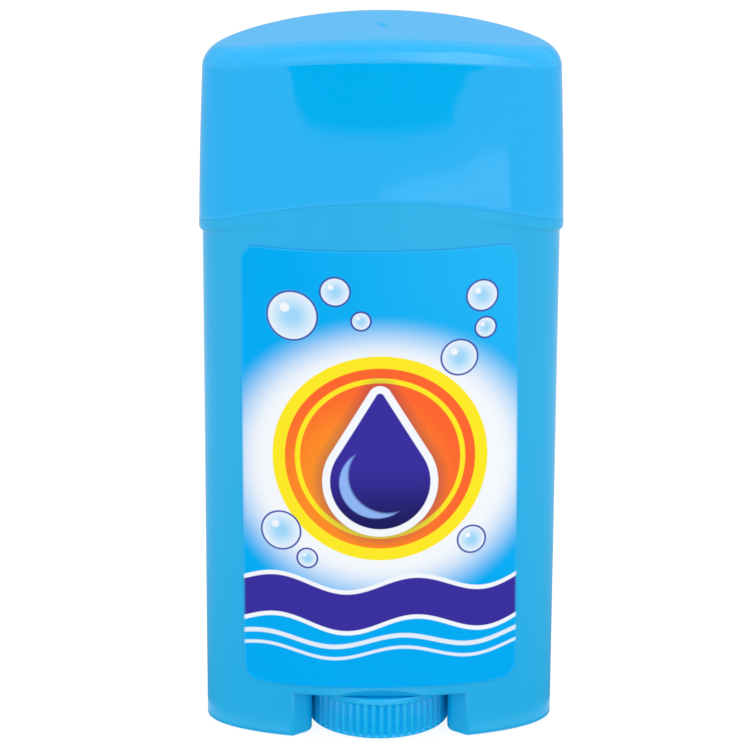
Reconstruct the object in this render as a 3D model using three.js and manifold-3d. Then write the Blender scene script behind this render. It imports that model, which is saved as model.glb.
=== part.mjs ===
import * as THREE from 'three';
import { mergeVertices } from 'three/addons/utils/BufferGeometryUtils.js';
import Module from 'manifold-3d';

// Twist-up stick in an oval dispenser. Turning the ribbed hand wheel in the base turns a coarse screw,
// and the screw carries the elevator and the stick that stands in it up through the barrel.
// Millimetres, +Z up, front towards -Y, origin on the ground under the middle of the base.

const wasm = await Module();
wasm.setup();

// Barrel
const BODY_WIDTH = 60.8;
const BODY_DEPTH = 25.6;
const BODY_DRAFT = 0.47;
const FOOT_EDGE_RADIUS = 0.85;
const FOOT_WALL = 2;
const FOOT_RIB = 1.4;
const FLOOR_THICKNESS = 1.5;
const NECK_RISE = 6;
const NECK_WALL = 0.9;
const NECK_LEAD_IN = 0.4;

// Seam between cap and barrel, arched up in the middle, and the collar that follows it
const SEAM_END_Z = 91.85;
const SEAM_RISE = 6.45;
const SEAM_GAP = 0.3;
const COLLAR_FLARE = 0.6;
const COLLAR_BAND = 1.6;
const COLLAR_OGEE = 1.1;

// Cap
const CAP_HEIGHT = 33.9;
const CAP_WALL = 1;
const CAP_ROOF = 1.2;
const CAP_FIT = 0.3;
const CAP_DRAFT = 0.66;
const CAP_ARCH_RADIUS = 117;
const CAP_EDGE_RADIUS = 3.1;
const CAP_EDGE_FRONT = 4.1;

// Slot in the base, flared at both faces, with a shallow thumb arch over the wheel
const SLOT_WIDTH = 23.6;
const WINDOW_WIDTH = 30.6;
const FLARE_RADIUS = 8;
const THUMB_ARCH_WIDTH = 13;
const THUMB_ARCH_RISE = 1.05;
const THUMB_ARCH_REACH = 2.2;

// Hand wheel
const WHEEL_SETBACK = 0.4;
const WHEEL_HEIGHT = 7.4;
const WHEEL_GROUND_GAP = 0.35;
const WHEEL_TOP_GAP = 0.35;
const WHEEL_POCKET_GAP = 0.5;
const WHEEL_FLANGE = 1.15;
const WHEEL_FLANGE_ROUND = 0.6;
const WHEEL_RIM = 1.6;
const WHEEL_DISC = 1.8;
const WHEEL_WEB = 1.2;
const WHEEL_WEBS = 6;
const RIB_COUNT = 54;
const RIB_DEPTH = 0.45;
const RIB_SETBACK = 0.1;
const HUB_DIAMETER = 9.6;

// Feed screw
const SCREW_CORE_DIAMETER = 5.6;
const THREAD_RIB_DIAMETER = 2.4;
const THREAD_LEAD = 5;
const THREAD_CLEARANCE = 0.5;
const SCREW_COLLAR_DIAMETER = 10;
const SCREW_COLLAR_HEIGHT = 1.2;
const SCREW_FOOT = 4;
const SCREW_FOOT_FIT = 0.2;
const RUNNING_GAP = 0.3;

// Elevator and stick
const ELEVATOR_FIT = 0.35;
const ELEVATOR_PLATE = 1.6;
const ELEVATOR_RIM_WALL = 1;
const ELEVATOR_RIM_HEIGHT = 3.4;
const NUT_WALL = 1.2;
const NUT_HEIGHT = 7.5;
const STICK_HEIGHT = 80;
const STICK_CROWN_RADIUS = 80;
const STICK_EDGE_RADIUS = 4;
const STICK_COVER = 6;

// Front label
const LABEL_WIDTH = 47;
const LABEL_HEIGHT = 80;
const LABEL_CORNER = 3;
const LABEL_GAP = 0.06;
const LABEL_FILM = 0.12;
const LABEL_BOTTOM_MARGIN = 1.6;

// Facets
const OVAL_STEPS = 72;
const ROUND_STEPS = 36;
const EDGE_STEPS = 5;
const ARC_STEPS = 6;
const RIB_STEPS = 4;
const THREAD_STEPS_PER_TURN = 10;
const THREAD_SIDES = 10;
const CROWN_RINGS = 2;
const CUT_MARGIN = 1;

// Places that several pieces share
const bodyA = BODY_WIDTH / 2;
const bodyB = BODY_DEPTH / 2;
const footA = bodyA - BODY_DRAFT;
const footB = bodyB - BODY_DRAFT;
const capA = bodyA + COLLAR_FLARE;
const capB = bodyB;
const overallHeight = SEAM_END_Z + CAP_HEIGHT;
const seamCrownZ = SEAM_END_Z + SEAM_RISE;
const seamRadius = (capA ** 2 + SEAM_RISE ** 2) / (2 * SEAM_RISE);
const wheelTopZ = WHEEL_GROUND_GAP + WHEEL_HEIGHT;
const windowTopZ = wheelTopZ + WHEEL_TOP_GAP;
const floorUnderZ = windowTopZ + THUMB_ARCH_RISE;
const floorTopZ = floorUnderZ + FLOOR_THICKNESS;
const neckTopZ = seamCrownZ + NECK_RISE;
const neckInset = CAP_WALL + CAP_FIT;
const neckDraft = CAP_DRAFT * (neckTopZ - SEAM_END_Z) / CAP_HEIGHT;
const chamberInset = neckInset + neckDraft + NECK_WALL;
const chamberA = capA - chamberInset;
const chamberB = capB - chamberInset;
const wheelRadius = bodyB - WHEEL_SETBACK;
const pocketRadius = wheelRadius + WHEEL_POCKET_GAP;
const screwCoreRadius = SCREW_CORE_DIAMETER / 2;
const threadRibRadius = THREAD_RIB_DIAMETER / 2;
const screwRadius = screwCoreRadius + threadRibRadius;
const screwCollarZ = floorTopZ + RUNNING_GAP;
const threadStartZ = screwCollarZ + SCREW_COLLAR_HEIGHT;
const elevatorPlateZ = threadStartZ + RUNNING_GAP;
const elevatorTopZ = elevatorPlateZ + ELEVATOR_PLATE;
const elevatorRimZ = elevatorTopZ + ELEVATOR_RIM_HEIGHT;
const nutRadius = screwRadius + 2 * THREAD_CLEARANCE + NUT_WALL;
const nutTopZ = elevatorPlateZ + NUT_HEIGHT;
const stickBottomZ = elevatorTopZ + RUNNING_GAP;
const stickTopZ = stickBottomZ + STICK_HEIGHT;
const screwTopZ = stickTopZ - STICK_COVER;

// Drop of a circular arc of a given radius at a distance x from its crown
const arcDrop = (radius, x) => radius - Math.sqrt(radius ** 2 - x ** 2);
const seamZ = (x) => seamCrownZ - arcDrop(seamRadius, x);
const collarZ = (x) => seamZ(x) - COLLAR_BAND - COLLAR_OGEE;
const roofZ = (x) => overallHeight - arcDrop(CAP_ARCH_RADIUS, x);

// Closed skin over rows of points, from one end point to another, with as many points in every row
function skin(start, rows, end) {
  const positions = [...start, ...rows.flat(2), ...end];
  const count = rows[0].length;
  const last = positions.length / 3 - 1;
  const at = (row, i) => 1 + row * count + (i % count);
  const index = [];
  for (let i = 0; i < count; i += 1) {
    index.push(0, at(0, i + 1), at(0, i));
    for (let row = 0; row < rows.length - 1; row += 1) {
      index.push(at(row, i), at(row, i + 1), at(row + 1, i + 1));
      index.push(at(row, i), at(row + 1, i + 1), at(row + 1, i));
    }
    index.push(at(rows.length - 1, i), at(rows.length - 1, i + 1), last);
  }
  const geometry = new THREE.BufferGeometry();
  geometry.setAttribute('position', new THREE.Float32BufferAttribute(positions, 3));
  geometry.setIndex(index);
  return geometry;
}

// One oval ring of a loft: half width a, half depth b, and a height that may follow x
const ring = (a, b, z) => ({ a, b, z: typeof z === 'function' ? z : () => z });

// Loft of oval rings about Z, closed at both ends on the axis
function loft(startZ, rings, endZ) {
  const rows = rings.map(({ a, b, z }) => Array.from({ length: OVAL_STEPS }, (_, i) => {
    const turn = (2 * Math.PI * i) / OVAL_STEPS;
    const x = a * Math.cos(turn);
    return [x, b * Math.sin(turn), z(x)];
  }));
  return skin([0, 0, startZ], rows, [0, 0, endZ]);
}

const ovalPrism = (a, b, z0, z1) => loft(z0, [ring(a, b, z0), ring(a, b, z1)], z1);

// Revolved solid about Z from a profile of [radius, height] points that starts and ends on the axis
function revolve(profile) {
  const points = profile.map(([radius, height]) => new THREE.Vector2(radius, height));
  return new THREE.LatheGeometry(points, ROUND_STEPS).rotateX(Math.PI / 2);
}

const disc = (radius, z0, z1) => revolve([[0, z0], [radius, z0], [radius, z1], [0, z1]]);

function block(width, depth, z0, z1) {
  return new THREE.BoxGeometry(width, depth, z1 - z0).translate(0, 0, (z0 + z1) / 2);
}

// Plan outline raised from z0 to z1
function raise(shape, z0, z1) {
  const options = { depth: z1 - z0, bevelEnabled: false, curveSegments: ARC_STEPS };
  return new THREE.ExtrudeGeometry(shape, options).translate(0, 0, z0);
}

// Front outline in X and Z carried back from y0 to y1
function carryBack(shape, y0, y1) {
  const options = { depth: y1 - y0, bevelEnabled: false, curveSegments: ARC_STEPS };
  return new THREE.ExtrudeGeometry(shape, options).rotateX(Math.PI / 2).translate(0, y1, 0);
}

// Three.js geometry to a solid that can be joined and cut, and back to a mesh
function solid(geometry) {
  const bare = geometry.clone();
  bare.deleteAttribute('normal');
  bare.deleteAttribute('uv');
  const merged = mergeVertices(bare);
  const vertProperties = new Float32Array(merged.attributes.position.array);
  const triVerts = new Uint32Array(merged.index.array);
  return new wasm.Manifold(new wasm.Mesh({ numProp: 3, vertProperties, triVerts }));
}

function piece(name, body, finish) {
  const { vertProperties, triVerts } = body.getMesh();
  const geometry = new THREE.BufferGeometry();
  geometry.setAttribute('position', new THREE.BufferAttribute(vertProperties, 3));
  geometry.setIndex(new THREE.BufferAttribute(triVerts, 1));
  geometry.computeVertexNormals();
  const mesh = new THREE.Mesh(geometry, new THREE.MeshStandardMaterial(finish));
  mesh.name = name;
  return mesh;
}

// Steps of a quarter turn, from 0 to 90 degrees
const quarter = Array.from({ length: EDGE_STEPS + 1 }, (_, i) => (i / EDGE_STEPS) * (Math.PI / 2));

// Rounded crown of the cap or of its hollow: rings from the wall up to the roof's middle. The edge is a quarter
// circle at the sides and reaches further in at the front and back
function crownRings(inset, radius, frontReach, z) {
  const edge = quarter.map((angle) => {
    const draw = 1 - Math.cos(angle);
    const drop = radius * (1 - Math.sin(angle));
    return ring(capA - inset - radius * draw, capB - inset - frontReach * draw, (x) => z(x) - drop);
  });
  const flat = edge[EDGE_STEPS];
  const middle = Array.from({ length: CROWN_RINGS }, (_, i) => {
    const share = 1 - (i + 1) / (CROWN_RINGS + 1);
    return ring(flat.a * share, flat.b * share, z);
  });
  return [...edge, ...middle];
}

// Domed cap: arched roof, rounded edge, drafted wall, and a rim that follows the seam
function makeCap() {
  const rimZ = (x) => seamZ(x) + SEAM_GAP / 2;
  const innerZ = (x) => roofZ(x) - CAP_ROOF;
  const outside = [ring(capA, capB, rimZ), ...crownRings(CAP_DRAFT, CAP_EDGE_RADIUS, CAP_EDGE_FRONT, roofZ)];
  const innerRadius = CAP_EDGE_RADIUS - CAP_WALL;
  const innerReach = CAP_EDGE_FRONT - CAP_WALL;
  const inside = crownRings(CAP_DRAFT + CAP_WALL, innerRadius, innerReach, innerZ).reverse();
  const innerRim = ring(capA - CAP_WALL, capB - CAP_WALL, rimZ);
  return solid(loft(innerZ(0), [...inside, innerRim, ...outside], overallHeight));
}

// Drafted wall between foot and collar, grown outwards by a given amount
const wallRings = (growth) => [
  ring(footA + growth, footB + growth, FOOT_EDGE_RADIUS),
  ring(bodyA + growth, bodyB + growth, collarZ),
];

// Skin of the barrel: rounded foot, drafted wall, ogee collar, arched shoulder, neck and open chamber
function barrelSkin() {
  const foot = quarter.slice(0, EDGE_STEPS).map((angle) => {
    const step = FOOT_EDGE_RADIUS * (1 - Math.sin(angle));
    return ring(footA - step, footB - step, FOOT_EDGE_RADIUS * (1 - Math.cos(angle)));
  });
  const ogee = Array.from({ length: EDGE_STEPS }, (_, i) => {
    const share = (i + 1) / EDGE_STEPS;
    const flare = COLLAR_FLARE * THREE.MathUtils.smoothstep(share, 0, 1);
    return ring(bodyA + flare, bodyB, (x) => collarZ(x) + COLLAR_OGEE * share);
  });
  const shoulderZ = (x) => seamZ(x) - SEAM_GAP / 2;
  const rimInset = neckInset + neckDraft;
  return loft(0, [
    ...foot,
    ...wallRings(0),
    ...ogee,
    ring(capA, capB, shoulderZ),
    ring(capA - neckInset, capB - neckInset, shoulderZ),
    ring(capA - rimInset, capB - rimInset, neckTopZ - NECK_LEAD_IN),
    ring(capA - rimInset - NECK_LEAD_IN, capB - rimInset - NECK_LEAD_IN, neckTopZ),
    ring(chamberA, chamberB, neckTopZ),
    ring(chamberA, chamberB, floorTopZ),
  ], floorTopZ);
}

// Plan of the slot: straight beside the wheel, then flared on a round to the window's width
function slotPlan() {
  const slotHalf = SLOT_WIDTH / 2;
  const windowHalf = WINDOW_WIDTH / 2;
  const faceY = footB * Math.sqrt(1 - (windowHalf / footA) ** 2);
  const flareTurn = Math.acos(1 - (windowHalf - slotHalf) / FLARE_RADIUS);
  const flareY = faceY - FLARE_RADIUS * Math.sin(flareTurn);
  const outY = bodyB + CUT_MARGIN;
  const outX = windowHalf + (outY - faceY) * Math.tan(flareTurn);
  const flare = Array.from({ length: ARC_STEPS + 1 }, (_, i) => {
    const turn = flareTurn * (1 - i / ARC_STEPS);
    return [slotHalf + FLARE_RADIUS * (1 - Math.cos(turn)), -flareY - FLARE_RADIUS * Math.sin(turn)];
  });
  const front = [[outX, -outY], ...flare];
  const right = [...front, ...front.map(([x, y]) => [x, -y]).reverse()];
  const left = right.map(([x, y]) => [-x, -y]);
  return new THREE.Shape([...right, ...left].map(([x, y]) => new THREE.Vector2(x, y)));
}

// Thumb arch: a circular segment that rises over the middle of the window, cut into both faces of the barrel
function thumbArch() {
  const half = THUMB_ARCH_WIDTH / 2;
  const radius = (half ** 2 + THUMB_ARCH_RISE ** 2) / (2 * THUMB_ARCH_RISE);
  const reach = Math.asin(half / radius);
  const shape = new THREE.Shape();
  shape.absarc(0, floorUnderZ - radius, radius, Math.PI / 2 - reach, Math.PI / 2 + reach, false);
  shape.lineTo(-half, windowTopZ - CUT_MARGIN);
  shape.lineTo(half, windowTopZ - CUT_MARGIN);
  return shape;
}

// Hollow under one quarter of the feet, on the sides of the middle that the two signs give
function footHollow(signX, signY) {
  const plug = ovalPrism(footA - FOOT_WALL, footB - FOOT_WALL, -CUT_MARGIN, windowTopZ);
  const fromX = WINDOW_WIDTH / 2 + FOOT_WALL;
  const box = block(bodyA, bodyB, -2 * CUT_MARGIN, windowTopZ + CUT_MARGIN);
  box.translate(signX * (fromX + bodyA / 2), signY * (FOOT_RIB / 2 + bodyB / 2), 0);
  return solid(plug).intersect(solid(box));
}

function makeBarrel() {
  const outY = bodyB + CUT_MARGIN;
  const archY = bodyB - THUMB_ARCH_REACH;
  const boreRadius = screwCoreRadius + RUNNING_GAP;
  const hubSeatRadius = HUB_DIAMETER / 2 + WHEEL_POCKET_GAP;
  let barrel = solid(barrelSkin());
  barrel = barrel.subtract(solid(raise(slotPlan(), -CUT_MARGIN, windowTopZ)));
  barrel = barrel.subtract(solid(disc(pocketRadius, -CUT_MARGIN, windowTopZ)));
  barrel = barrel.subtract(solid(carryBack(thumbArch(), -outY, -archY)));
  barrel = barrel.subtract(solid(carryBack(thumbArch(), archY, outY)));
  barrel = barrel.subtract(solid(disc(hubSeatRadius, windowTopZ - CUT_MARGIN, floorUnderZ)));
  barrel = barrel.subtract(solid(disc(boreRadius, windowTopZ, floorTopZ + CUT_MARGIN)));
  for (const signX of [-1, 1]) {
    for (const signY of [-1, 1]) {
      barrel = barrel.subtract(footHollow(signX, signY));
    }
  }
  return barrel;
}

// Label: a rounded rectangle cut out of a thin skin that follows the front of the barrel
function makeLabel() {
  const bottomZ = windowTopZ + LABEL_BOTTOM_MARGIN;
  const topZ = bottomZ + LABEL_HEIGHT;
  const half = LABEL_WIDTH / 2;
  const outline = new THREE.Shape();
  outline.absarc(half - LABEL_CORNER, bottomZ + LABEL_CORNER, LABEL_CORNER, -Math.PI / 2, 0);
  outline.absarc(half - LABEL_CORNER, topZ - LABEL_CORNER, LABEL_CORNER, 0, Math.PI / 2);
  outline.absarc(-half + LABEL_CORNER, topZ - LABEL_CORNER, LABEL_CORNER, Math.PI / 2, Math.PI);
  outline.absarc(-half + LABEL_CORNER, bottomZ + LABEL_CORNER, LABEL_CORNER, Math.PI, -Math.PI / 2);
  const wrap = loft(FOOT_EDGE_RADIUS, wallRings(LABEL_GAP + LABEL_FILM), collarZ(0));
  const core = loft(FOOT_EDGE_RADIUS, wallRings(LABEL_GAP), collarZ(0));
  const front = carryBack(outline, -bodyB - CUT_MARGIN, 0);
  return solid(wrap).subtract(solid(core)).intersect(solid(front));
}

// Outline of the wheel's grip: every rib is half a cosine wave, and two ribs meet in a sharp valley
function ribbedPlan() {
  const crest = wheelRadius - RIB_SETBACK;
  const points = Array.from({ length: RIB_COUNT * RIB_STEPS }, (_, i) => {
    const turn = (2 * Math.PI * i) / (RIB_COUNT * RIB_STEPS);
    const wave = Math.sin((Math.PI * (i % RIB_STEPS)) / RIB_STEPS);
    const radius = crest - RIB_DEPTH * (1 - wave);
    return new THREE.Vector2(radius * Math.cos(turn), radius * Math.sin(turn));
  });
  return new THREE.Shape(points);
}

// Ribbed hand wheel: plain flange on top, hollow underside with webs, hub with a square socket
function makeHandWheel() {
  const flangeZ = wheelTopZ - WHEEL_FLANGE;
  const hubTopZ = floorUnderZ - RUNNING_GAP;
  const hubRadius = HUB_DIAMETER / 2;
  const discUnderZ = wheelTopZ - WHEEL_DISC;
  const hollowRadius = wheelRadius - RIB_SETBACK - RIB_DEPTH - WHEEL_RIM;
  const underZ = WHEEL_GROUND_GAP - CUT_MARGIN;
  const rounding = quarter.map((angle) => [
    wheelRadius - WHEEL_FLANGE_ROUND * (1 - Math.cos(angle)),
    wheelTopZ - WHEEL_FLANGE_ROUND * (1 - Math.sin(angle)),
  ]);
  const flange = [[0, discUnderZ], [hollowRadius, discUnderZ], [hollowRadius, flangeZ], [wheelRadius, flangeZ]];
  const hub = [[hubRadius, wheelTopZ], [hubRadius, hubTopZ], [0, hubTopZ]];
  const hollow = solid(disc(hollowRadius, underZ, discUnderZ));
  let spokes = solid(disc(hubRadius, WHEEL_GROUND_GAP, discUnderZ + CUT_MARGIN));
  for (let i = 0; i < WHEEL_WEBS / 2; i += 1) {
    const web = block(2 * hollowRadius + WHEEL_RIM, WHEEL_WEB, WHEEL_GROUND_GAP, discUnderZ + WHEEL_WEB / 2);
    spokes = spokes.add(solid(web.rotateZ((2 * Math.PI * i) / WHEEL_WEBS)));
  }
  const grip = solid(raise(ribbedPlan(), WHEEL_GROUND_GAP, flangeZ + WHEEL_FLANGE / 2));
  const top = solid(revolve([...flange, ...rounding, ...hub]));
  const socketSide = SCREW_FOOT + 2 * SCREW_FOOT_FIT;
  const socket = solid(block(socketSide, socketSide, underZ, hubTopZ + CUT_MARGIN));
  return grip.subtract(hollow).add(top).add(spokes).subtract(socket);
}

// Screw core and round thread rib in one skin: a lobed section that turns right-handed once in each lead
function threadedRod(z0, z1, growth) {
  const core = screwCoreRadius + growth;
  const rib = threadRibRadius + growth;
  const steps = Math.ceil((THREAD_STEPS_PER_TURN * (z1 - z0)) / THREAD_LEAD);
  const rows = Array.from({ length: steps + 1 }, (_, step) => {
    const z = z0 + ((z1 - z0) * step) / steps;
    return Array.from({ length: THREAD_SIDES }, (__, side) => {
      const lag = (2 * side) / THREAD_SIDES - 1;
      const above = (THREAD_LEAD * lag) / 2;
      const radius = core + Math.sqrt(Math.max(0, rib ** 2 - above ** 2));
      const turn = (2 * Math.PI * z) / THREAD_LEAD + Math.PI * lag;
      return [radius * Math.cos(turn), radius * Math.sin(turn), z];
    });
  });
  return solid(skin([0, 0, z0], rows, [0, 0, z1]));
}

// Feed screw: square foot in the wheel, journal in the floor, collar on the floor, and the thread
function makeFeedScrew() {
  const footZ = WHEEL_GROUND_GAP + WHEEL_DISC;
  const collarRadius = SCREW_COLLAR_DIAMETER / 2;
  const shaft = revolve([
    [0, floorUnderZ],
    [screwCoreRadius, floorUnderZ],
    [screwCoreRadius, screwCollarZ],
    [collarRadius, screwCollarZ],
    [collarRadius, threadStartZ],
    [0, threadStartZ],
  ]);
  const foot = block(SCREW_FOOT, SCREW_FOOT, footZ, screwCollarZ);
  const thread = threadedRod(screwCollarZ + SCREW_COLLAR_HEIGHT / 2, screwTopZ, 0);
  return solid(shaft).add(solid(foot)).add(thread);
}

// Elevator: oval cup with a guide rim above and below its plate, and a threaded nut in the middle
function makeElevator() {
  const outerA = chamberA - ELEVATOR_FIT;
  const outerB = chamberB - ELEVATOR_FIT;
  const innerA = outerA - ELEVATOR_RIM_WALL;
  const innerB = outerB - ELEVATOR_RIM_WALL;
  const skirtZ = floorTopZ + RUNNING_GAP;
  const cup = loft(elevatorPlateZ, [
    ring(innerA, innerB, elevatorPlateZ),
    ring(innerA, innerB, skirtZ),
    ring(outerA, outerB, skirtZ),
    ring(outerA, outerB, elevatorRimZ),
    ring(innerA, innerB, elevatorRimZ),
    ring(innerA, innerB, elevatorTopZ),
  ], elevatorTopZ);
  const nut = solid(disc(nutRadius, elevatorPlateZ, nutTopZ));
  const tap = threadedRod(elevatorPlateZ - THREAD_LEAD, nutTopZ + THREAD_LEAD, THREAD_CLEARANCE);
  return solid(cup).add(nut).subtract(tap);
}

// Stick: stands inside the elevator's rim, fills the chamber, crowned top, hollow round nut and screw
function makeStick() {
  const wideA = chamberA - ELEVATOR_FIT;
  const wideB = chamberB - ELEVATOR_FIT;
  const footInset = ELEVATOR_RIM_WALL + RUNNING_GAP;
  const ledgeZ = elevatorRimZ + RUNNING_GAP;
  const crownZ = (x) => stickTopZ - arcDrop(STICK_CROWN_RADIUS, x);
  const edge = quarter.map((angle) => {
    const step = STICK_EDGE_RADIUS * (1 - Math.cos(angle));
    return ring(wideA - step, wideB - step, (x) => crownZ(x) - STICK_EDGE_RADIUS * (1 - Math.sin(angle)));
  });
  const flat = edge[EDGE_STEPS];
  const stick = loft(stickBottomZ, [
    ring(wideA - footInset, wideB - footInset, stickBottomZ),
    ring(wideA - footInset, wideB - footInset, ledgeZ),
    ring(wideA, wideB, ledgeZ),
    ...edge,
    ring(flat.a / 2, flat.b / 2, crownZ),
  ], stickTopZ);
  const nutHole = nutRadius + RUNNING_GAP;
  const screwHole = screwRadius + THREAD_CLEARANCE;
  const hole = revolve([
    [0, stickBottomZ - CUT_MARGIN],
    [nutHole, stickBottomZ - CUT_MARGIN],
    [nutHole, nutTopZ + RUNNING_GAP],
    [screwHole, nutTopZ + RUNNING_GAP],
    [screwHole, screwTopZ + THREAD_CLEARANCE],
    [0, screwTopZ + THREAD_CLEARANCE],
  ]);
  return solid(stick).subtract(solid(hole));
}

// Finishes
const bluePlastic = { color: 0x28a4e6, roughness: 0.32, metalness: 0 };
const capPlastic = { color: 0x14a8f0, roughness: 0.18, metalness: 0 };
const wheelPlastic = { color: 0x1ea3e8, roughness: 0.35, metalness: 0 };
const labelFilm = { color: 0x00abf5, roughness: 0.22, metalness: 0 };
const naturalPlastic = { color: 0xe9edf0, roughness: 0.45, metalness: 0 };
const soap = { color: 0xf1efe4, roughness: 0.6, metalness: 0 };

const dispenser = new THREE.Group();
dispenser.add(
  piece('barrel', makeBarrel(), bluePlastic),
  piece('front_label', makeLabel(), labelFilm),
  piece('cap', makeCap(), capPlastic),
  piece('hand_wheel', makeHandWheel(), wheelPlastic),
  piece('feed_screw', makeFeedScrew(), naturalPlastic),
  piece('elevator', makeElevator(), naturalPlastic),
  piece('stain_stick', makeStick(), soap),
);

export default dispenser;
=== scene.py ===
"""Looks of an oval twist-up stick dispenser.

It has a domed cap, a barrel with a printed film label, a ribbed hand wheel and a soap stick. Its sizes are
millimetres in the part's own frame (+Z up, label facing -Y) and become metres when a mesh is made.
"""

import bmesh
import bpy
import numpy as np
from mathutils import Matrix, Vector


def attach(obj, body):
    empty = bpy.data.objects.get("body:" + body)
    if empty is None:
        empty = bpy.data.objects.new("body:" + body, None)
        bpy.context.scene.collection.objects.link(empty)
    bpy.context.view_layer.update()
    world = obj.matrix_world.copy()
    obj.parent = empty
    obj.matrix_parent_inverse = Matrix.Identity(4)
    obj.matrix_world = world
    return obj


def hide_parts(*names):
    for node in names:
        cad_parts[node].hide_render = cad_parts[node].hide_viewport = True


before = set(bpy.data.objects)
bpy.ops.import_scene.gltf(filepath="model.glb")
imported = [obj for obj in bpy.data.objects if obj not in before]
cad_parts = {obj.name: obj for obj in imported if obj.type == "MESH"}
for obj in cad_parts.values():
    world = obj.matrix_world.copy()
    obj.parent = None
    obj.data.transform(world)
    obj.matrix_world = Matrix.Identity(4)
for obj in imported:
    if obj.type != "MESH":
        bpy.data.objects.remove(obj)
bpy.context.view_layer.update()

MM = 0.001

# Barrel
BODY_A, BODY_B, BODY_DRAFT = 30.4, 12.8, 0.47
FOOT_ROUND, SLOT_ROUND = 0.85, 0.65
FOOT_WALL, FOOT_RIB = 2.0, 1.4
WINDOW_TOP, WINDOW_HALF = 8.1, 15.2
FLARE_ANGLE, FLARE_BEND = np.radians(38.0), 2.5
ARCH_HALF, ARCH_RISE = 7.4, 1.1
SCOOP_REACH, SCOOP_LEVEL, CEILING_DROP = 0.12, 1 / 3, 0.28
LIP, ARCH_LIP, LIP_START, LIP_RUN = 0.5, 0.45, 0.62 * ARCH_HALF, 0.7 * ARCH_HALF
SLOT_HALF, POCKET_RADIUS = 11.8, 12.9
HUB_SEAT_RADIUS, BORE_RADIUS = 5.3, 3.1
FLOOR_UNDER, FLOOR_TOP, BAND_TOP = 9.15, 10.65, 10.6
COLLAR_BAND, COLLAR_OGEE, COLLAR_FLARE = 1.6, 1.1, 0.6

# Cap and its seam with the barrel
CAP_A, CAP_B = 31.0, 12.8
SEAM_CROWN, SEAM_RISE, SEAM_HALF_GAP, SEAM_ROUND = 98.3, 6.45, 0.01, 0.04
SEAM_END = SEAM_CROWN - SEAM_RISE
CAP_TOP, CAP_ARCH, CAP_EDGE, CAP_EDGE_FRONT = 125.75, 117.0, 3.1, 4.1
CAP_SIDE, CAP_DRAFT, CAP_BULGE = 27.0, 0.66, 0.55
CAP_WALL, CAP_ROOF = 1.0, 1.2
GATE_RADIUS, GATE_DEPTH, GATE_NUB, GATE_NUB_SHARE = 1.35, 0.36, 0.45, 0.9

# Neck of the barrel, which follows the cap's draft, and the chamber inside it
NECK_INSET, NECK_WALL, NECK_LEAD_IN, NECK_TOP = 1.3, 0.9, 0.4, 104.3
NECK_DRAFT = CAP_DRAFT * (NECK_TOP - SEAM_END) / (CAP_TOP - SEAM_END)
CHAMBER_A = CAP_A - NECK_INSET - NECK_DRAFT - NECK_WALL
CHAMBER_B = CAP_B - NECK_INSET - NECK_DRAFT - NECK_WALL
CHAMBER_MIDDLE = 60.0

# Label film
LABEL_LOW, LABEL_HIGH, LABEL_HALF, LABEL_CORNER = 10.1, 89.8, 23.5, 3.0
LABEL_GAP, LABEL_FILM, LABEL_TILT, LABEL_SHIFT = 0.06, 0.118, 0.007, -0.25
LABEL_MIDDLE = (LABEL_LOW + LABEL_HIGH) / 2
LABEL_HALF_HEIGHT = (LABEL_HIGH - LABEL_LOW) / 2
PRINT_UNIT = 100.0

# Hand wheel
WHEEL_RADIUS, WHEEL_LOW, WHEEL_TOP, WHEEL_TOP_BORDER = 12.4, 0.35, 7.75, 2.0
WHEEL_FLANGE, WHEEL_FLANGE_ROUND, WHEEL_EDGE_ROUND = 1.15, 0.3, 0.25
FLANGE_STEP, GRIP_GAP = 0.18, 0.3
WHEEL_RIM, WHEEL_DISC, WHEEL_WEB, WHEEL_WEBS, WEB_OVERLAP = 1.6, 1.8, 1.2, 6, 0.3
RIB_COUNT, RIB_DEPTH, RIB_SETBACK = 54, 0.6, 0.1
RIB_RUNOUT, RIB_FOOT, RIB_START, RIB_CREST = 0.45, 0.12, 0.14, 1.35
HUB_RADIUS, HUB_TOP, HUB_EDGE, SOCKET_HALF = 4.8, 8.85, 0.2, 2.2

# Soap stick
STICK_LOW, STICK_LEDGE, STICK_SIDE_TOP, STICK_TOP = 14.35, 17.75, 80.0, 94.35
STICK_FIT, STICK_FOOT_INSET, STICK_CROWN, STICK_EDGE = 0.35, 1.3, 80.0, 4.0
STICK_A, STICK_B = CHAMBER_A - STICK_FIT, CHAMBER_B - STICK_FIT
NUT_HOLE, NUT_TOP, SCREW_HOLE, SCREW_HOLE_TOP = 6.5, 20.25, 4.5, 88.85

# Steps of the grids
ROUND_STEPS, SEAM_STEPS, WINDOW_STEPS, FOOT_STEPS = 8, 5, 128, 80
FLARE_STEPS, FLARE_FLATS = 25, 6
POCKET_STEPS = FOOT_STEPS + 3 - 2 * FLARE_STEPS
BAND_ROWS, FOOT_ROWS, WALL_ROWS, OGEE_ROWS = 5, 9, 25, 9
SCOOP_ROWS, CEILING_ROWS, HOLLOW_STEPS = 9, 6, 40
CAP_STEPS, CAP_WALL_ROWS, CAP_EDGE_ROWS = 320, 25, 19
ROOF_SHARES = np.concatenate([np.linspace(1.0, 0.24, 8)[1:], np.linspace(0.21, 0.0, 34)])
LABEL_STEPS, LABEL_ROWS, LABEL_CORNER_STEPS = 141, 24, 10
CHORD_POINTS, CHORD_MARGIN = 2001, 2.0
RIB_STEPS, FLANGE_ROWS, GRIP_ROWS, RUNOUT_ROWS = 14, 6, 4, 7
STICK_STEPS, STICK_ROWS, STICK_EDGE_STEPS, CROWN_ROWS = 240, 8, 14, 12
WELD, SLIVER, SAME_POINT = 2e-3, 1e-4, 1e-4
SHARP_ANGLE = np.radians(40.0)


# Meshes

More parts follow.
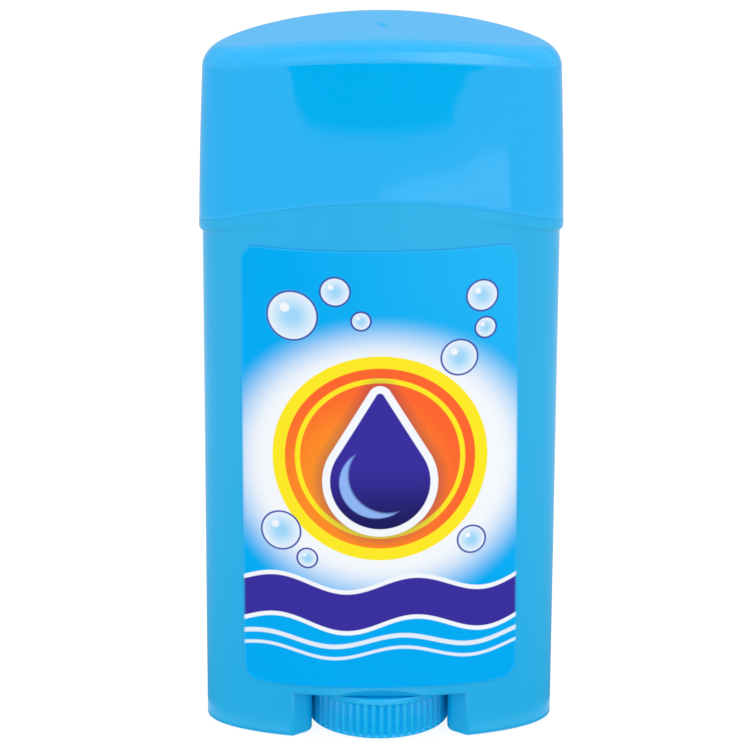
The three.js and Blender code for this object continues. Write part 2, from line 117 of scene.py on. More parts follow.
def smooth(share):
    """Cubic ease from 0 to 1: 3 s^2 - 2 s^3 of a share held between 0 and 1."""
    s = np.clip(share, 0.0, 1.0)
    return s * s * (3.0 - 2.0 * s)


def arc_drop(radius, x):
    """Drop of a circular arc at a distance x from its crown: R minus the root of R^2 - x^2."""
    return radius - np.sqrt(np.maximum(radius ** 2 - np.square(x), 0.0))


def arc_radius(half, rise):
    """Radius of the arc that rises so far over a half width: (h^2 + r^2) / 2 r."""
    return (half ** 2 + rise ** 2) / (2 * rise)


def quarter(steps=ROUND_STEPS):
    """Angles from 0 to 90 degrees."""
    return np.linspace(0.0, np.pi / 2, steps + 1)


def at_height(plan, z):
    """Points of a plan, all at one height."""
    return np.column_stack([plan, np.full(len(plan), z)])


def oval(a, b, turn, z):
    """Ring of points on an ellipse: (a cos t, b sin t), at a height that may be a function of x."""
    x = a * np.cos(turn)
    height = z(x) if callable(z) else np.full_like(x, z)
    return np.stack([x, b * np.sin(turn), height], -1)


def grid_faces(rows, columns, closed):
    """Quads between neighbouring points of a grid; a closed grid joins its last column to its first."""
    row = np.arange(rows - 1)[:, None]
    column = np.arange(columns if closed else columns - 1)[None, :]
    after = (column + 1) % columns
    here, above = row * columns, (row + 1) * columns
    quads = [here + column, here + after, above + after, above + column]
    return np.stack(np.broadcast_arrays(*quads), -1).reshape(-1, 4)


def make_piece(name, patches, body, node, fill_open=False, uv=None):
    """One object from grid patches of rows x columns x 3: welded where they meet, with its faces outwards.

    Each patch comes with a flag that says whether its last column joins its first.
    """
    points, faces, count = [], [], 0
    for patch, closed in patches:
        rows, columns = patch.shape[:2]
        points.append(patch.reshape(-1, 3))
        faces.append(grid_faces(rows, columns, closed) + count)
        count += rows * columns
    mesh = bpy.data.meshes.new(name)
    mesh.from_pydata(np.concatenate(points) * MM, [], np.concatenate(faces))
    work = bmesh.new()
    work.from_mesh(mesh)
    bmesh.ops.remove_doubles(work, verts=work.verts, dist=WELD * MM)
    bmesh.ops.dissolve_degenerate(work, edges=work.edges, dist=SLIVER * MM)
    if fill_open:
        edges = [edge for edge in work.edges if edge.is_boundary]
        bmesh.ops.triangle_fill(work, use_beauty=True, use_dissolve=False, edges=edges)
    bmesh.ops.recalc_face_normals(work, faces=work.faces)
    work.to_mesh(mesh)
    work.free()
    mesh.shade_smooth()
    mesh.set_sharp_from_angle(angle=SHARP_ANGLE)
    if uv is not None:
        places = np.empty(len(mesh.vertices) * 3)
        mesh.vertices.foreach_get("co", places)
        corners = np.empty(len(mesh.loops), int)
        mesh.loops.foreach_get("vertex_index", corners)
        flat = uv(places.reshape(-1, 3) / MM)[corners]
        mesh.uv_layers.new(name="print").data.foreach_set("uv", flat.ravel())
    piece = bpy.data.objects.new(name, mesh)
    bpy.context.scene.collection.objects.link(piece)
    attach(piece, body)
    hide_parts(node)
    return piece


def seam(x):
    """Height of the seam: an arc over the whole width, highest in the middle."""
    return SEAM_CROWN - arc_drop(arc_radius(CAP_A, SEAM_RISE), x)


def roof(x):
    """Height of the cap's roof: an arc across the width, level from front to back."""
    return CAP_TOP - arc_drop(CAP_ARCH, x)


def cap_patches():
    """Cap: rings rise from the rim, draw in with a slight bulge, round over an edge and close on the roof.

    A ring is an ellipse with an even inset, and its height follows the seam's arc at the rim and the roof's
    arc at the top. Over the edge the inset grows with 1 - cos, further at the front and back than at the
    sides. The inside repeats the outside, a wall's thickness in. Round the roof's middle a cosine well with
    a small nub is the moulding gate.
    """
    turn = np.linspace(0.0, 2 * np.pi, CAP_STEPS, endpoint=False)

    def rim(x):
        return seam(x) + SEAM_HALF_GAP

    def shell(inset, roof_drop, edge, edge_front):
        def shoulder(x):
            return roof(x) - roof_drop - edge

        rows = []
        for share in np.linspace(0.0, 1.0, CAP_WALL_ROWS):
            draw = CAP_DRAFT * ((1 - CAP_BULGE) * share + CAP_BULGE * share ** 2) + inset
            rows.append(oval(CAP_A - draw, CAP_B - draw, turn,
                             lambda x, s=share: rim(x) * (1 - s) + shoulder(x) * s))
        lean = np.arctan(CAP_DRAFT * (1 + CAP_BULGE) / CAP_SIDE)
        for angle in np.linspace(lean, np.pi / 2, CAP_EDGE_ROWS)[1:]:
            draw = np.cos(lean) - np.cos(angle)
            rise = edge * (np.sin(angle) - np.sin(lean)) / (1 - np.sin(lean))
            flat_a = CAP_A - CAP_DRAFT - inset - edge * draw
            flat_b = CAP_B - CAP_DRAFT - inset - edge_front * draw
            rows.append(oval(flat_a, flat_b, turn, lambda x, r=rise: shoulder(x) + r))
        for share in ROOF_SHARES:
            rows.append(oval(flat_a * share, flat_b * share, turn, lambda x: roof(x) - roof_drop))
        return np.stack(rows)

    def dome(far):
        return 0.5 + 0.5 * np.cos(np.pi * np.clip(far, 0, 1))

    outside = shell(0.0, 0.0, CAP_EDGE, CAP_EDGE_FRONT)
    far = np.hypot(outside[..., 0], outside[..., 1])
    outside[..., 2] += GATE_DEPTH * (GATE_NUB_SHARE * dome(far / GATE_NUB) - dome(far / GATE_RADIUS))
    inside = shell(CAP_WALL, CAP_ROOF, CAP_EDGE - CAP_WALL, CAP_EDGE_FRONT - CAP_WALL)
    rounding = []
    for angle in quarter(SEAM_STEPS)[::-1]:
        step = SEAM_ROUND * (1 - np.cos(angle))
        lift = SEAM_ROUND * (1 - np.sin(angle))
        rounding.append(oval(CAP_A - step, CAP_B - step, turn, lambda x, up=lift: rim(x) + up))
    return [(np.concatenate([inside[::-1], rounding, outside[1:]]), True)]


def window_top(x):
    """Height of the slot's ceiling: level, with a circular arch for the thumb in the middle."""
    rise = ARCH_RISE - arc_drop(arc_radius(ARCH_HALF, ARCH_RISE), x)
    return WINDOW_TOP + np.where(np.abs(x) < ARCH_HALF, np.maximum(rise, 0.0), 0.0)


def lip_radius(x):
    """Rounding of the window's upper edge: full at the sides, tighter over the thumb arch."""
    return ARCH_LIP + (LIP - ARCH_LIP) * smooth((np.abs(x) - LIP_START) / LIP_RUN)


def collar(x):
    """Height where the straight wall ends: the seam's arc, lowered by the collar's band and ogee."""
    return seam(x) - COLLAR_BAND - COLLAR_OGEE


def wall_size(x, z):
    """Half axes of the drafted wall: they grow evenly from the rounding of the foot up to the collar."""
    growth = BODY_DRAFT * np.clip((z - FOOT_ROUND) / (collar(x) - FOOT_ROUND), 0.0, 1.0)
    return BODY_A - BODY_DRAFT + growth, BODY_B - BODY_DRAFT + growth


def wall_front(x, z, offset=0.0):
    """Plan of the barrel's front wall: (x, -b root(1 - x^2 / a^2)), with the half axes of that height."""
    a, b = wall_size(x, z)
    y = -(b + offset) * np.sqrt(1 - np.square(x / (a + offset)))
    return np.stack(np.broadcast_arrays(x, y), -1)


def wall_ring(turn, z):
    """Ring of the drafted wall: the ellipse of oval(), at a height that may be a function of x."""
    x = BODY_A * np.cos(turn)
    height = z(x) if callable(z) else np.full_like(x, z)
    a, b = wall_size(x, height)
    return np.stack([a * np.cos(turn), b * np.sin(turn), height], -1)


def edge_front(x, z, angle):
    """Front wall at a rounded edge: from the foot's plan towards the drafted wall by the share 1 - sin f."""
    foot = wall_front(x, FOOT_ROUND)
    share = np.broadcast_to(1 - np.sin(angle), np.shape(x))[..., None]
    return foot + (wall_front(x, z) - foot) * share


def slot_wall():
    """Plan of the slot's right wall from front to back, and its direction at the window's edge.

    A straight flare leaves the window's corner and turns on an arc, (X + R (1 - sin t), Y - R cos t), until
    it runs straight back. It stops where it meets the wheel's pocket, a circle about the middle, and the
    back repeats the front.
    """
    corner = wall_front(np.array(WINDOW_HALF), FOOT_ROUND)
    inward = np.array([-np.cos(FLARE_ANGLE), np.sin(FLARE_ANGLE)])
    bend_width = FLARE_BEND * (1 - np.sin(FLARE_ANGLE))
    straight = (WINDOW_HALF - SLOT_HALF - bend_width) / np.cos(FLARE_ANGLE)
    flat = corner + inward * np.linspace(LIP, straight, FLARE_FLATS)[:, None]
    turn = np.linspace(FLARE_ANGLE, np.pi / 2, FLARE_STEPS - FLARE_FLATS)[1:]
    arc_x = SLOT_HALF + FLARE_BEND * (1 - np.sin(turn))
    arc_y = flat[-1, 1] + FLARE_BEND * (np.cos(FLARE_ANGLE) - np.cos(turn))
    meet = -np.sqrt(POCKET_RADIUS ** 2 - SLOT_HALF ** 2)
    flare = np.concatenate([flat, np.stack([arc_x, arc_y], -1), [[SLOT_HALF, meet]]])
    reach = np.arctan2(-meet, SLOT_HALF)
    around = np.linspace(-reach, reach, POCKET_STEPS)[1:-1]
    pocket = POCKET_RADIUS * np.stack([np.cos(around), np.sin(around)], -1)
    return np.concatenate([flare, pocket, flare[::-1] * [1, -1]]), inward


def barrel_patches():
    """Barrel as one closed skin of grids that share their border points.

    The oval wall stands on two feet. Between the feet a window is cut through front and back, and its
    border is a quarter round: a point of the border, moved back from it along the wall by r (1 - sin f) and
    into the slot by r (1 - cos f), for f from 0 to 90 degrees. The same rounding runs up the feet and
    across the top, mitred in the corners. Above the window the wall is a loft of ellipses: drafted wall,
    ogee collar that widens only sideways, arched shoulder, drafted neck, and down the chamber to its floor
    and the screw's bore.
    """
    side, inward = slot_wall()
    edge_half = WINDOW_HALF + LIP

    def foot_turn(z):
        """Angles round the outside of the right foot, from its front edge to its back edge."""
        return np.linspace(-1.0, 1.0, FOOT_STEPS + 1) * np.arccos(edge_half / wall_size(edge_half, z)[0])

    edge_turn = foot_turn(BAND_TOP)[-1]
    front_turn = np.linspace(np.pi + edge_turn, 2 * np.pi - edge_turn, WINDOW_STEPS + 1)
    rounds = quarter()
    patches = []

    # Window's upper edge and the band of wall above it, in front, then turned half round for the back
    x_top = wall_ring(front_turn, BAND_TOP)[:, 0]
    strip = []
    for angle in rounds:
        x = x_top * (WINDOW_HALF + LIP * (1 - np.sin(angle))) / edge_half
        radius = lip_radius(x)
        face = wall_front(x_top * WINDOW_HALF / edge_half, FOOT_ROUND)
        behind = np.stack([face[:, 0] * side[0, 0] / WINDOW_HALF, np.full_like(x, side[0, 1])], -1)
        into = behind - face
        into /= np.hypot(into[:, 0], into[:, 1])[:, None]
        z = window_top(x) + radius * (1 - np.sin(angle))
        plan = edge_front(x, z, angle) + into * (radius * (1 - np.cos(angle)))[:, None]
        strip.append(np.column_stack([plan, z]))
    strip = np.stack(strip)
    heights = strip[0][:, 2] + (BAND_TOP - strip[0][:, 2]) * np.linspace(0.0, 1.0, BAND_ROWS)[:, None]
    band = np.concatenate([wall_front(x_top, heights), heights[..., None]], -1)
    half_turn = np.array([-1, -1, 1])
    patches += [(strip, False), (band, False), (strip * half_turn, False), (band * half_turn, False)]

    # Feet: outer wall, rounded upright edges and slot wall round one closed plan, rounded under
    edge_x = WINDOW_HALF + LIP * (1 - np.sin(rounds))
    flip = np.array([1, -1])
    parts = np.cumsum([FOOT_STEPS + 1, len(rounds), len(side)])

    def round_plan(outer, edge, slot):
        """Values for the points of the plan: outer wall, back edge, slot wall and front edge."""
        return np.concatenate([np.full(FOOT_STEPS + 1, outer), edge, np.full(len(side), slot), edge[::-1]])

    def foot_plan(z):
        """Closed plan of the right foot, with a height for each point."""
        outer, up_back, _, up_front = np.split(z, parts)
        reach = inward * (LIP * (1 - np.cos(rounds)))[:, None]
        wall = wall_ring(foot_turn(outer[0]), outer[0])[:, :2]
        back = (edge_front(edge_x, up_back, rounds) + reach) * flip
        front = edge_front(edge_x, up_front[::-1], rounds) + reach
        return np.concatenate([wall, back, side[::-1], front[::-1]])

    top = round_plan(WINDOW_TOP + LIP, WINDOW_TOP + LIP * (1 - np.sin(rounds)), WINDOW_TOP)
    fade = smooth(rounds / rounds[-1])
    under = round_plan(FOOT_ROUND, FOOT_ROUND + (SLOT_ROUND - FOOT_ROUND) * fade, SLOT_ROUND)
    plan = foot_plan(under)
    keep = np.hypot(*(plan - np.roll(plan, 1, 0)).T) > SAME_POINT
    plan, low = plan[keep], under[keep]
    along = np.roll(plan, -1, 0) - np.roll(plan, 1, 0)
    normal = np.stack([along[:, 1], -along[:, 0]], -1) / np.hypot(*along.T)[:, None]
    foot = []
    for angle in rounds[::-1]:
        drawn = plan - normal * (low * (1 - np.cos(angle)))[:, None]
        foot.append(np.column_stack([drawn, low * (1 - np.sin(angle))]))
    for share in np.linspace(0.0, 1.0, FOOT_ROWS)[1:]:
        z = under + (top - under) * share
        foot.append(np.column_stack([foot_plan(z), z])[keep])
    foot = np.stack(foot)
    cheek_low = WINDOW_TOP + LIP
    cheek_rows = cheek_low + (BAND_TOP - cheek_low) * np.linspace(0.0, 1.0, BAND_ROWS)
    cheek = np.stack([wall_ring(foot_turn(z), z) for z in cheek_rows])

    # Hollows under the feet, each bounded by the foot's wall, the rib and the slot's side
    hollow_a, hollow_b = BODY_A - BODY_DRAFT - FOOT_WALL, BODY_B - BODY_DRAFT - FOOT_WALL
    near_x, near_y = WINDOW_HALF + FOOT_WALL, FOOT_RIB / 2
    bend = np.linspace(np.arcsin(near_y / hollow_b), np.arccos(near_x / hollow_a), HOLLOW_STEPS)
    curve = np.stack([hollow_a * np.cos(bend), hollow_b * np.sin(bend)], -1)
    loop = np.concatenate([[[near_x, near_y]], curve])
    middle = np.tile(loop.mean(0), (len(loop), 1))
    hollow = np.stack([at_height(loop, 0.0), at_height(loop, WINDOW_TOP), at_height(middle, WINDOW_TOP)])
    for sign_x in (1, -1):
        patches += [(foot * [sign_x, 1, 1], True), (cheek * [sign_x, 1, 1], False)]
        patches += [(hollow * [sign_x, sign_y, 1], True) for sign_y in (1, -1)]

    # Ceiling of the slot, from its border over the thumb scoop to the hub's seat and up the screw's bore
    lip_end = strip[-1]
    right = at_height(side, WINDOW_TOP)
    border = np.concatenate([lip_end, right, lip_end * half_turn, right * half_turn])
    spin = np.unwrap(np.arctan2(border[:, 1], border[:, 0]))
    around = np.stack([np.cos(spin), np.sin(spin)], -1)
    hub, bore = HUB_SEAT_RADIUS * around, BORE_RADIUS * around
    ceiling = [border]
    scoop = np.linspace(0.0, SCOOP_REACH, SCOOP_ROWS)[1:]
    for share in np.concatenate([scoop, np.linspace(SCOOP_REACH, 1.0, CEILING_ROWS)[1:]]):
        flat = border[:, :2] * (1 - share) + hub * share
        open_share = 1 - smooth((share / SCOOP_REACH - SCOOP_LEVEL) / (1 - SCOOP_LEVEL))
        level = WINDOW_TOP - CEILING_DROP * (1 - open_share)
        arch = (window_top(flat[:, 0]) - WINDOW_TOP) * open_share
        ceiling.append(np.column_stack([flat, level + arch]))
    ceiling += [at_height(hub, FLOOR_UNDER), at_height(bore, FLOOR_UNDER), at_height(bore, FLOOR_TOP)]
    patches.append((np.stack(ceiling), True))

    # Loft above the band
    round_foot = foot_turn(BAND_TOP)
    turn = np.concatenate([front_turn, 2 * np.pi + round_foot, front_turn + np.pi, np.pi + round_foot])
    rows = []
    for share in np.linspace(0.0, 1.0, WALL_ROWS):
        rows.append(wall_ring(turn, lambda x, s=share: BAND_TOP * (1 - s) + collar(x) * s))
    for share in np.linspace(0.0, 1.0, OGEE_ROWS)[1:]:
        flare_a = BODY_A + COLLAR_FLARE * smooth(share)
        rows.append(oval(flare_a, BODY_B, turn, lambda x, s=share: collar(x) + COLLAR_OGEE * s))
    for share in (0.5, 1.0):
        drop = COLLAR_BAND * (1 - share) + (SEAM_HALF_GAP + SEAM_ROUND) * share
        rows.append(oval(CAP_A, CAP_B, turn, lambda x, d=drop: seam(x) - d))
    for angle in quarter(SEAM_STEPS)[1:]:
        step = SEAM_ROUND * (1 - np.cos(angle))
        drop = SEAM_HALF_GAP + SEAM_ROUND * (1 - np.sin(angle))
        rows.append(oval(CAP_A - step, CAP_B - step, turn, lambda x, d=drop: seam(x) - d))
    rows.append(oval(CAP_A - NECK_INSET, CAP_B - NECK_INSET, turn, lambda x: seam(x) - SEAM_HALF_GAP))
    inset = NECK_INSET + NECK_DRAFT
    for angle in quarter(SEAM_STEPS):
        step = inset + NECK_LEAD_IN * (1 - np.cos(angle))
        rows.append(oval(CAP_A - step, CAP_B - step, turn, NECK_TOP - NECK_LEAD_IN * (1 - np.sin(angle))))
    for z in (NECK_TOP, CHAMBER_MIDDLE, FLOOR_TOP):
        rows.append(oval(CHAMBER_A, CHAMBER_B, turn, z))
    rows.append(at_height(bore, FLOOR_TOP))
    patches.append((np.stack(rows), True))
    return patches


def unrolled(x):
    """Arc length along the front wall from its middle, and back: the sum of short chords of the ellipse."""
    points = np.linspace(-LABEL_HALF - CHORD_MARGIN, LABEL_HALF + CHORD_MARGIN, CHORD_POINTS)
    chords = np.hypot(np.diff(points), np.diff(wall_front(points, LABEL_MIDDLE)[:, 1]))
    length = np.concatenate([[0.0], np.cumsum(chords)])
    length -= np.interp(0.0, points, length)
    return np.interp(x, points, length), np.interp(x, length, points)


LABEL_REACH = float(unrolled(LABEL_HALF)[0])


def turned(across, up, angle):
    """Points of the flat sheet turned about its middle: (s cos t - v sin t, s sin t + v cos t)."""
    return across * np.cos(angle) - up * np.sin(angle), across * np.sin(angle) + up * np.cos(angle)


def label_patches():
    """Label: a flat sheet with round corners, leaned a little, wrapped round the wall, as thick as a film.

    A row of the sheet at height v runs from -w(v) to w(v), where w is the half width less a round corner.
    """
    corner = LABEL_CORNER * (1 - np.cos(quarter(LABEL_CORNER_STEPS)))
    straight = LABEL_HALF_HEIGHT - LABEL_CORNER
    between = np.linspace(-straight, straight, LABEL_ROWS)[1:-1]
    up = np.concatenate([corner - LABEL_HALF_HEIGHT, between, LABEL_HALF_HEIGHT - corner[::-1]])
    inset = arc_drop(LABEL_CORNER, np.maximum(LABEL_CORNER - (LABEL_HALF_HEIGHT - np.abs(up)), 0.0))
    across = np.linspace(-1.0, 1.0, LABEL_STEPS)[None, :] * (LABEL_REACH - inset)[:, None]
    across, up = turned(across, up[:, None], LABEL_TILT)
    x, z = unrolled(across + LABEL_SHIFT)[1], LABEL_MIDDLE + up

    def film(offset):
        return np.concatenate([wall_front(x, z, offset), z[..., None]], -1)

    inner, outer = film(LABEL_GAP), film(LABEL_GAP + LABEL_FILM)
    borders = [np.stack([inner[pick], outer[pick]]) for pick in (0, -1)]
    borders += [np.stack([inner[:, pick], outer[:, pick]]) for pick in (0, -1)]
    return [(inner, False), (outer, False)] + [(border, False) for border in borders]


def label_uv(places):
    """Print coordinates in tenths of a metre: places on the flat sheet, from its middle."""
    flat = unrolled(places[:, 0])[0] - LABEL_SHIFT
    across, up = turned(flat, places[:, 2] - LABEL_MIDDLE, -LABEL_TILT)
    return np.stack([across, up], -1) / PRINT_UNIT


def wheel_patches():
    """Hand wheel: a profile of radius and height turned about Z, with ribs in the grip and a square socket.

    In the grip each rib is a power of half a sine wave, round on its crest, with a narrow valley. The
    socket's radius is half a side over the larger of |cos| and |sin|, which is a square.
    """
    turn = np.linspace(0.0, 2 * np.pi, RIB_COUNT * RIB_STEPS, endpoint=False)
    phase = (turn * RIB_COUNT / (2 * np.pi) - RIB_START) % 1.0
    valley = 1 - np.sin(np.pi * phase) ** RIB_CREST
    square = SOCKET_HALF / np.maximum(np.abs(np.cos(turn)), np.abs(np.sin(turn)))

    def ring(radius, z):
        radius = np.broadcast_to(radius, turn.shape)
        return np.stack([radius * np.cos(turn), radius * np.sin(turn), np.full_like(turn, z)], -1)

    flange = WHEEL_TOP - WHEEL_FLANGE
    under = WHEEL_TOP - WHEEL_DISC
    crest = WHEEL_RADIUS - RIB_SETBACK
    hollow = crest - RIB_DEPTH - WHEEL_RIM
    grip = crest - RIB_DEPTH * valley
    foot = crest - RIB_FOOT
    rows = [ring(square, HUB_TOP), ring(HUB_RADIUS - HUB_EDGE, HUB_TOP),
            ring(HUB_RADIUS, HUB_TOP - HUB_EDGE), ring(HUB_RADIUS, WHEEL_TOP),
            ring(WHEEL_RADIUS - WHEEL_TOP_BORDER, WHEEL_TOP)]
    for angle in quarter()[::-1]:
        rows.append(ring(WHEEL_RADIUS - WHEEL_FLANGE_ROUND * (1 - np.cos(angle)),
                         WHEEL_TOP - WHEEL_FLANGE_ROUND * (1 - np.sin(angle))))
    for share in np.linspace(0.0, 1.0, FLANGE_ROWS):
        radius = WHEEL_RADIUS + (grip - WHEEL_RADIUS) * smooth(share)
        rows.append(ring(radius, flange + FLANGE_STEP * (1 - 2 * share)))
    low = WHEEL_LOW + WHEEL_EDGE_ROUND
    rows += [ring(grip, z) for z in np.linspace(flange - GRIP_GAP, low + RIB_RUNOUT, GRIP_ROWS)]
    for share in np.linspace(0.0, 1.0, RUNOUT_ROWS)[1:]:
        rows.append(ring(grip + (foot - grip) * smooth(share), low + RIB_RUNOUT * (1 - share)))
    for angle in quarter()[1:]:
        rows.append(ring(foot - WHEEL_EDGE_ROUND * (1 - np.cos(angle)),
                         WHEEL_LOW + WHEEL_EDGE_ROUND * (1 - np.sin(angle))))
    rows += [ring(hollow, WHEEL_LOW), ring(hollow, under), ring(HUB_RADIUS, under),
             ring(HUB_RADIUS, WHEEL_LOW), ring(square, WHEEL_LOW), ring(square, HUB_TOP)]
    patches = [(np.stack(rows), True)]

    # Webs between hub and rim: upright blocks as four-sided tubes with closed ends
    half, web_top = WHEEL_WEB / 2, under + WEB_OVERLAP
    inner_end, outer_end = HUB_RADIUS - WEB_OVERLAP, hollow + WEB_OVERLAP
    section = np.array([[-half, WHEEL_LOW], [half, WHEEL_LOW], [half, web_top], [-half, web_top]])
    centre = np.tile(section.mean(0), (4, 1))
    ends = [(inner_end, centre), (inner_end, section), (outer_end, section), (outer_end, centre)]
    for number in range(WHEEL_WEBS):
        spin = 2 * np.pi * number / WHEEL_WEBS
        out, across = np.array([np.cos(spin), np.sin(spin)]), np.array([-np.sin(spin), np.cos(spin)])
        web = [np.column_stack([out * reach + across * shape[:, :1], shape[:, 1]]) for reach, shape in ends]
        patches.append((np.stack(web), True))
    return patches


def stick_patches():
    """Soap stick: rings from the screw's hole round foot and ledge, up the oval side, over a crowned top.

    The crown is an arc across the width. At the edge a ring is drawn in by r (1 - cos f) and lowered from
    the crown by r (1 - sin f), for f from 0 to 90 degrees.
    """
    turn = np.linspace(0.0, 2 * np.pi, STICK_STEPS, endpoint=False)

    def crown(x):
        return STICK_TOP - arc_drop(STICK_CROWN, x)

    foot_a, foot_b = STICK_A - STICK_FOOT_INSET, STICK_B - STICK_FOOT_INSET
    rows = [oval(0.0, 0.0, turn, SCREW_HOLE_TOP), oval(SCREW_HOLE, SCREW_HOLE, turn, SCREW_HOLE_TOP),
            oval(SCREW_HOLE, SCREW_HOLE, turn, NUT_TOP), oval(NUT_HOLE, NUT_HOLE, turn, NUT_TOP),
            oval(NUT_HOLE, NUT_HOLE, turn, STICK_LOW), oval(foot_a, foot_b, turn, STICK_LOW),
            oval(foot_a, foot_b, turn, STICK_LEDGE)]
    rows += [oval(STICK_A, STICK_B, turn, z) for z in np.linspace(STICK_LEDGE, STICK_SIDE_TOP, STICK_ROWS)]
    for angle in quarter(STICK_EDGE_STEPS):
        draw = STICK_EDGE * (1 - np.cos(angle))
        drop = STICK_EDGE * (1 - np.sin(angle))
        rows.append(oval(STICK_A - draw, STICK_B - draw, turn, lambda x, d=drop: crown(x) - d))
    for share in np.linspace(1.0, 0.0, CROWN_ROWS)[1:]:
        rows.append(oval((STICK_A - STICK_EDGE) * share, (STICK_B - STICK_EDGE) * share, turn, crown))
    return [(np.stack(rows), True)]


# Finishes

class Value:
    """One value in a finish's node tree. Arithmetic with numbers or other values adds Math nodes."""

    def __init__(self, finish, socket):
        self.finish = finish
        self.socket = socket

    def maths(self, operation, *values, clamp=False):
        settings = {"operation": operation, "use_clamp": clamp}
        return self.finish.node("ShaderNodeMath", settings, dict(enumerate(values)))

    def __add__(self, other):
        return self.maths("ADD", self, other)

    def __radd__(self, other):
        return self.maths("ADD", other, self)

    def __sub__(self, other):
        return self.maths("SUBTRACT", self, other)

    def __rsub__(self, other):
        return self.maths("SUBTRACT", other, self)

    def __mul__(self, other):
        return self.maths("MULTIPLY", self, other)

    def __rmul__(self, other):
        return self.maths("MULTIPLY", other, self)

    def __truediv__(self, other):
        return self.maths("DIVIDE", self, other)

    def __lt__(self, other):
        return self.maths("LESS_THAN", self, other)

    def __gt__(self, other):
        return self.maths("GREATER_THAN", self, other)

    def __abs__(self):
        return self.maths("ABSOLUTE", self)

    def root(self):
        return self.maths("SQRT", self)

    def sine(self):
        return self.maths("SINE", self)

    def larger(self, other):
        return self.maths("MAXIMUM", self, other)

    def smaller(self, other):
        return self.maths("MINIMUM", self, other)

    def clip(self):
        """Held between 0 and 1."""
        return self.maths("ADD", self, 0.0, clamp=True)

    def ease(self):
        """Held between 0 and 1 and eased at both ends."""
        settings = {"interpolation_type": "SMOOTHSTEP"}
        return self.finish.node("ShaderNodeMapRange", settings, {"Value": self})

    def contrast(self, gain):
        """Spread round one half and held between 0 and 1."""
        return (self * gain - (gain - 1) / 2).clip()


class Finish:
    """A material's node tree. node() adds any node: its type, its settings, then its values or links."""

    def __init__(self, name, tree=None):
        if tree is None:
            self.material = bpy.data.materials.new(name)
            self.material.use_nodes = True
            tree = self.material.node_tree
        self.tree = tree
        self.tree.nodes.clear()

    def node(self, kind, settings=None, inputs=None, output=0):
        node = self.tree.nodes.new(kind)
        for key, value in (settings or {}).items():
            setattr(node, key, value)
        for key, value in (inputs or {}).items():
            if isinstance(value, Value):
                self.tree.links.new(value.socket, node.inputs[key])
            else:
                node.inputs[key].default_value = value
        return Value(self, node.outputs[output])

    def mix(self, first, second, share):
        """Colour between two colours."""
        return self.node("ShaderNodeMix", {"data_type": "RGBA"}, {6: first, 7: second, 0: share}, 2)

    def place(self, scale=(1.0, 1.0, 1.0)):
        """Object coordinates, stretched."""
        where = self.node("ShaderNodeTexCoord", output="Object")
        return self.node("ShaderNodeMapping", {}, {"Vector": where, "Scale": scale})

    def noise(self, place, scale, detail=2.0, roughness=0.5):
        return self.node("ShaderNodeTexNoise", {}, {
            "Vector": place, "Scale": scale, "Detail": detail, "Roughness": roughness})

    def bump(self, height):
        """Normal of a surface raised by so many millimetres."""
        return self.node("ShaderNodeBump", {}, {"Height": height, "Distance": MM})

    def shade(self, **sockets):
        """Principled shader on the output. A socket's name is written with _ for a space."""
        named = {key.replace("_", " "): value for key, value in sockets.items()}
        self.show(self.node("ShaderNodeBsdfPrincipled", {}, named))
        return self.material

    def show(self, surface, kind="ShaderNodeOutputMaterial"):
        """Link a shader to the output."""
        out = self.tree.nodes.new(kind)
        self.tree.links.new(surface.socket, out.inputs["Surface"])


def linear(red, green, blue):
    """Scene-linear colour from 8-bit screen values."""
    share = np.array([red, green, blue]) / 255
    return (*np.where(share <= 0.04045, share / 12.92, ((share + 0.055) / 1.055) ** 2.4).tolist(), 1.0)


# Noise in the plastic, in waves per metre
FLOW, CLOUDS, GRAIN, SINK = 90.0, 240.0, 5200.0, 70.0
DRAWN = (1.0, 1.0, 0.35)


def moulded_plastic(name, deep, light, gloss, gloss_swing, grain, wave, specular=0.5):
    """Blue moulded plastic: drawn-out flow marks in its colour, cloudy gloss, fine grain, sink waves."""
    finish = Finish(name)
    drawn, plain = finish.place(DRAWN), finish.place()
    marks = finish.noise(drawn, scale=FLOW, detail=4.0, roughness=0.6)
    cloud = finish.noise(plain, scale=CLOUDS, detail=3.0, roughness=0.55)
    fine = finish.noise(plain, scale=GRAIN, detail=2.0, roughness=0.6)
    slow = finish.noise(drawn, scale=SINK, detail=1.0, roughness=0.4)
    colour = finish.mix(deep, light, marks.contrast(gain=1.6))
    return finish.shade(Base_Color=colour, Roughness=gloss + (cloud - 0.5) * gloss_swing,
                        Normal=finish.bump(fine * grain + slow * wave), Specular_IOR_Level=specular)


# Print, in millimetres from the label's middle
PRINT_EDGE = 0.16
SKY_ACROSS, SKY_UP, SKY_CLOUD, SKY_START = 60.0, 90.0, 0.5, 0.12
GLOW_REACH, GLOW_FADE, GLOW_WIDE, GLOW_SLANT, RIPPLE, RIPPLE_SWELL = 27.5, 9.0, 1.12, 0.22, 0.045, 1.2
DISC_UP, DISC_RADIUS, DISC_WARM, DISC_LINE, DISC_LINE_HALF = 2.5, 18.6, 16.4, 14.2, 0.45
EMBER_REACH, EMBER_RIGHT, EMBER_UP = 19.0, 0.25, 0.35
DROP_DOWN, DROP_LARGE, DROP_SMALL, DROP_TALL = 1.8, 8.6, 0.7, 15.5
DROP_BORDER, DROP_SHADOW, DROP_SHADOW_FADE, DROP_SHADOW_SHARE = 1.35, 2.1, 2.6, 0.5
DROP_DARK_UP, DROP_DARK_RUN = 4.0, 13.0
SHINE_X, SHINE_Y, SHINE_RADIUS, SHINE_EDGE, SHINE_SHARE = -0.6, -2.0, 6.4, 0.3, 0.9
CUT_X, CUT_Y, CUT_RADIUS, CUT_EDGE = 1.4, -0.6, 6.9, 0.5
BUBBLE_LINE, BUBBLE_POOL, BUBBLE_FADE, BUBBLE_TINT = 0.32, 0.72, 0.9, 0.75
